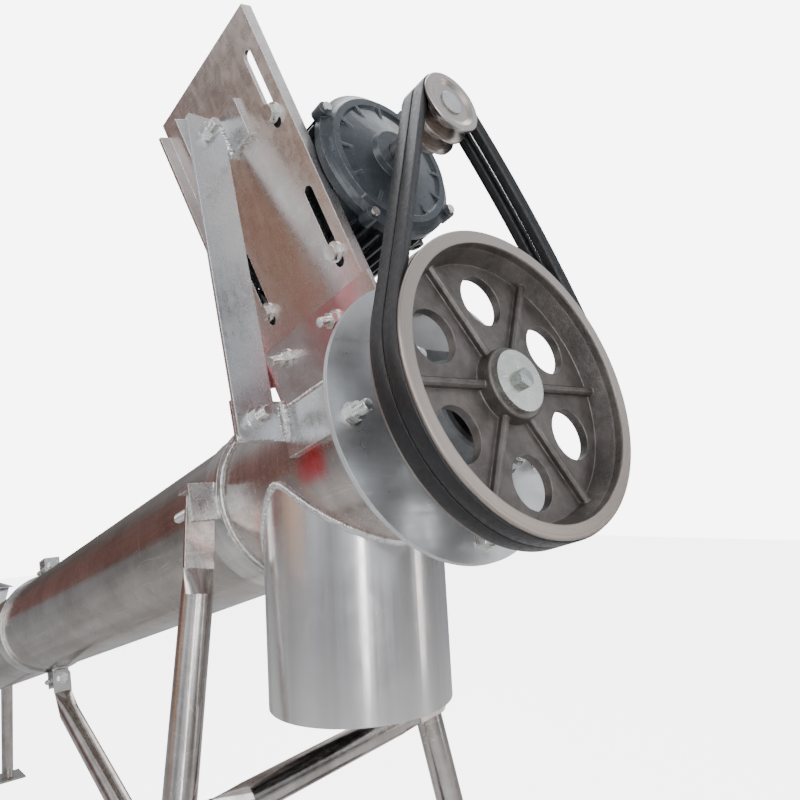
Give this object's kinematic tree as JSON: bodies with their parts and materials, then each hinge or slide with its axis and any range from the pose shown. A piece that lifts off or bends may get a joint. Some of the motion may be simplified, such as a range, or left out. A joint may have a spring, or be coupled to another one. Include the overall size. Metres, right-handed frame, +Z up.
{
  "type": "grain auger",
  "caption": "Inclined tube auger on wheels: feed hopper, enclosed screw, down spout, and a belt-driven head pulley with its motor on a slotted plate.",
  "frame": {"origin": "on the ground, at the centre of the machine's box in plan", "axes": "+X towards the discharge head, +Y to the motor's side, +Z up"},
  "size_m": [2.7724, 0.794, 1.5732],
  "materials": {
    "stainless": "rolled and brushed stainless sheet",
    "sheet_steel": "pickled sheet with scuffs",
    "galvanised": "satin zinc",
    "leg_tube": "polished tube",
    "zinc": "bright zinc plate",
    "screw_steel": "plain steel",
    "cast_housing": "painted casting",
    "bearing_steel": "ground steel and black seal",
    "cast_pulley": "as-cast web, turned rim",
    "belt_rubber": "fabric-backed rubber",
    "motor_paint": "dark blue-grey enamel",
    "core_steel": "laminated steel",
    "fan_plastic": "moulded black",
    "tyre": "matt black rubber",
    "rim_paint": "grey enamel"
  },
  "bodies": {
    "frame": {"axle_collars": "galvanised", "axle_pins": "zinc", "axle_shaft": "screw_steel", "axle_tube": "leg_tube", "band_rings": "sheet_steel", "bearing_bolts": "zinc", "bearing_housings": "cast_housing", "bearing_inserts": "bearing_steel", "brace_bar": "galvanised", "brace_ear_lower": "galvanised", "brace_ear_upper": "galvanised", "cross_tie": "leg_tube", "discharge_spout": "stainless", "drive_belts": "belt_rubber", "end_plate": "stainless", "feed_hopper": "stainless", "flange_rings": "stainless", "frame_bolts": "zinc", "head_casing": "stainless", "head_flange": "stainless", "intake_tube": "stainless", "joint_studs": "zinc", "leg_far": "leg_tube", "leg_near": "leg_tube", "main_tube": "stainless", "motor_plate": "sheet_steel", "rear_strut": "leg_tube", "ring_clamps": "stainless", "saddle_bracket": "sheet_steel", "stand_feet": "galvanised", "stand_legs": "leg_tube", "stud_ears": "galvanised", "tail_plate": "stainless"},
    "screw": {"screw_tube": "screw_steel", "screw_flight": "screw_steel", "discharge_paddles": "screw_steel", "stub_shafts": "screw_steel", "drive_key": "screw_steel", "hub_washer": "zinc", "hub_bolt": "zinc", "drive_pulley": "cast_pulley"},
    "motor": {"motor_frame": "motor_paint", "motor_stator": "core_steel", "motor_front_shield": "motor_paint", "motor_rear_shield": "motor_paint", "motor_shield_screws": "zinc", "motor_bearings": "bearing_steel", "motor_fan_cowl": "motor_paint", "terminal_box": "motor_paint", "terminal_lid": "motor_paint", "motor_foot_bolts": "zinc"},
    "armature": {"motor_rotor": "core_steel", "motor_shaft": "screw_steel", "motor_key": "screw_steel", "motor_pulley": "cast_pulley", "motor_fan": "fan_plastic"},
    "wheel_near": {"wheel_tyre_near": "tyre", "wheel_rim_near": "rim_paint"},
    "wheel_far": {"wheel_tyre_far": "tyre", "wheel_rim_far": "rim_paint"}
  },
  "joints": [
    {"name": "screw_spin", "type": "hinge", "parent": "frame", "child": "screw", "pos_m": [1.34676, 0, 1.11], "axis": [0.9677, 0, 0.2521], "continuous": true},
    {"name": "motor_slide", "type": "slide", "parent": "frame", "child": "motor", "axis": [-0.2435, -0.2588, 0.9347], "range_m": [-0.012, 0.004], "deforming": ["drive_belts"]},
    {"name": "motor_spin", "type": "hinge", "parent": "motor", "child": "armature", "pos_m": [1.24531, 0.0094, 1.42014], "axis": [0.9677, 0, 0.2521], "continuous": true},
    {"name": "wheel_near_spin", "type": "hinge", "parent": "frame", "child": "wheel_near", "pos_m": [1.02676, -0.342, 0.15], "axis": [0, 1, 0], "continuous": true},
    {"name": "wheel_far_spin", "type": "hinge", "parent": "frame", "child": "wheel_far", "pos_m": [1.02676, 0.342, 0.15], "axis": [0, 1, 0], "continuous": true}
  ],
  "couplings": [
    {"joint": "motor_spin", "follows": "screw_spin", "ratio": 4.3496}
  ]
}
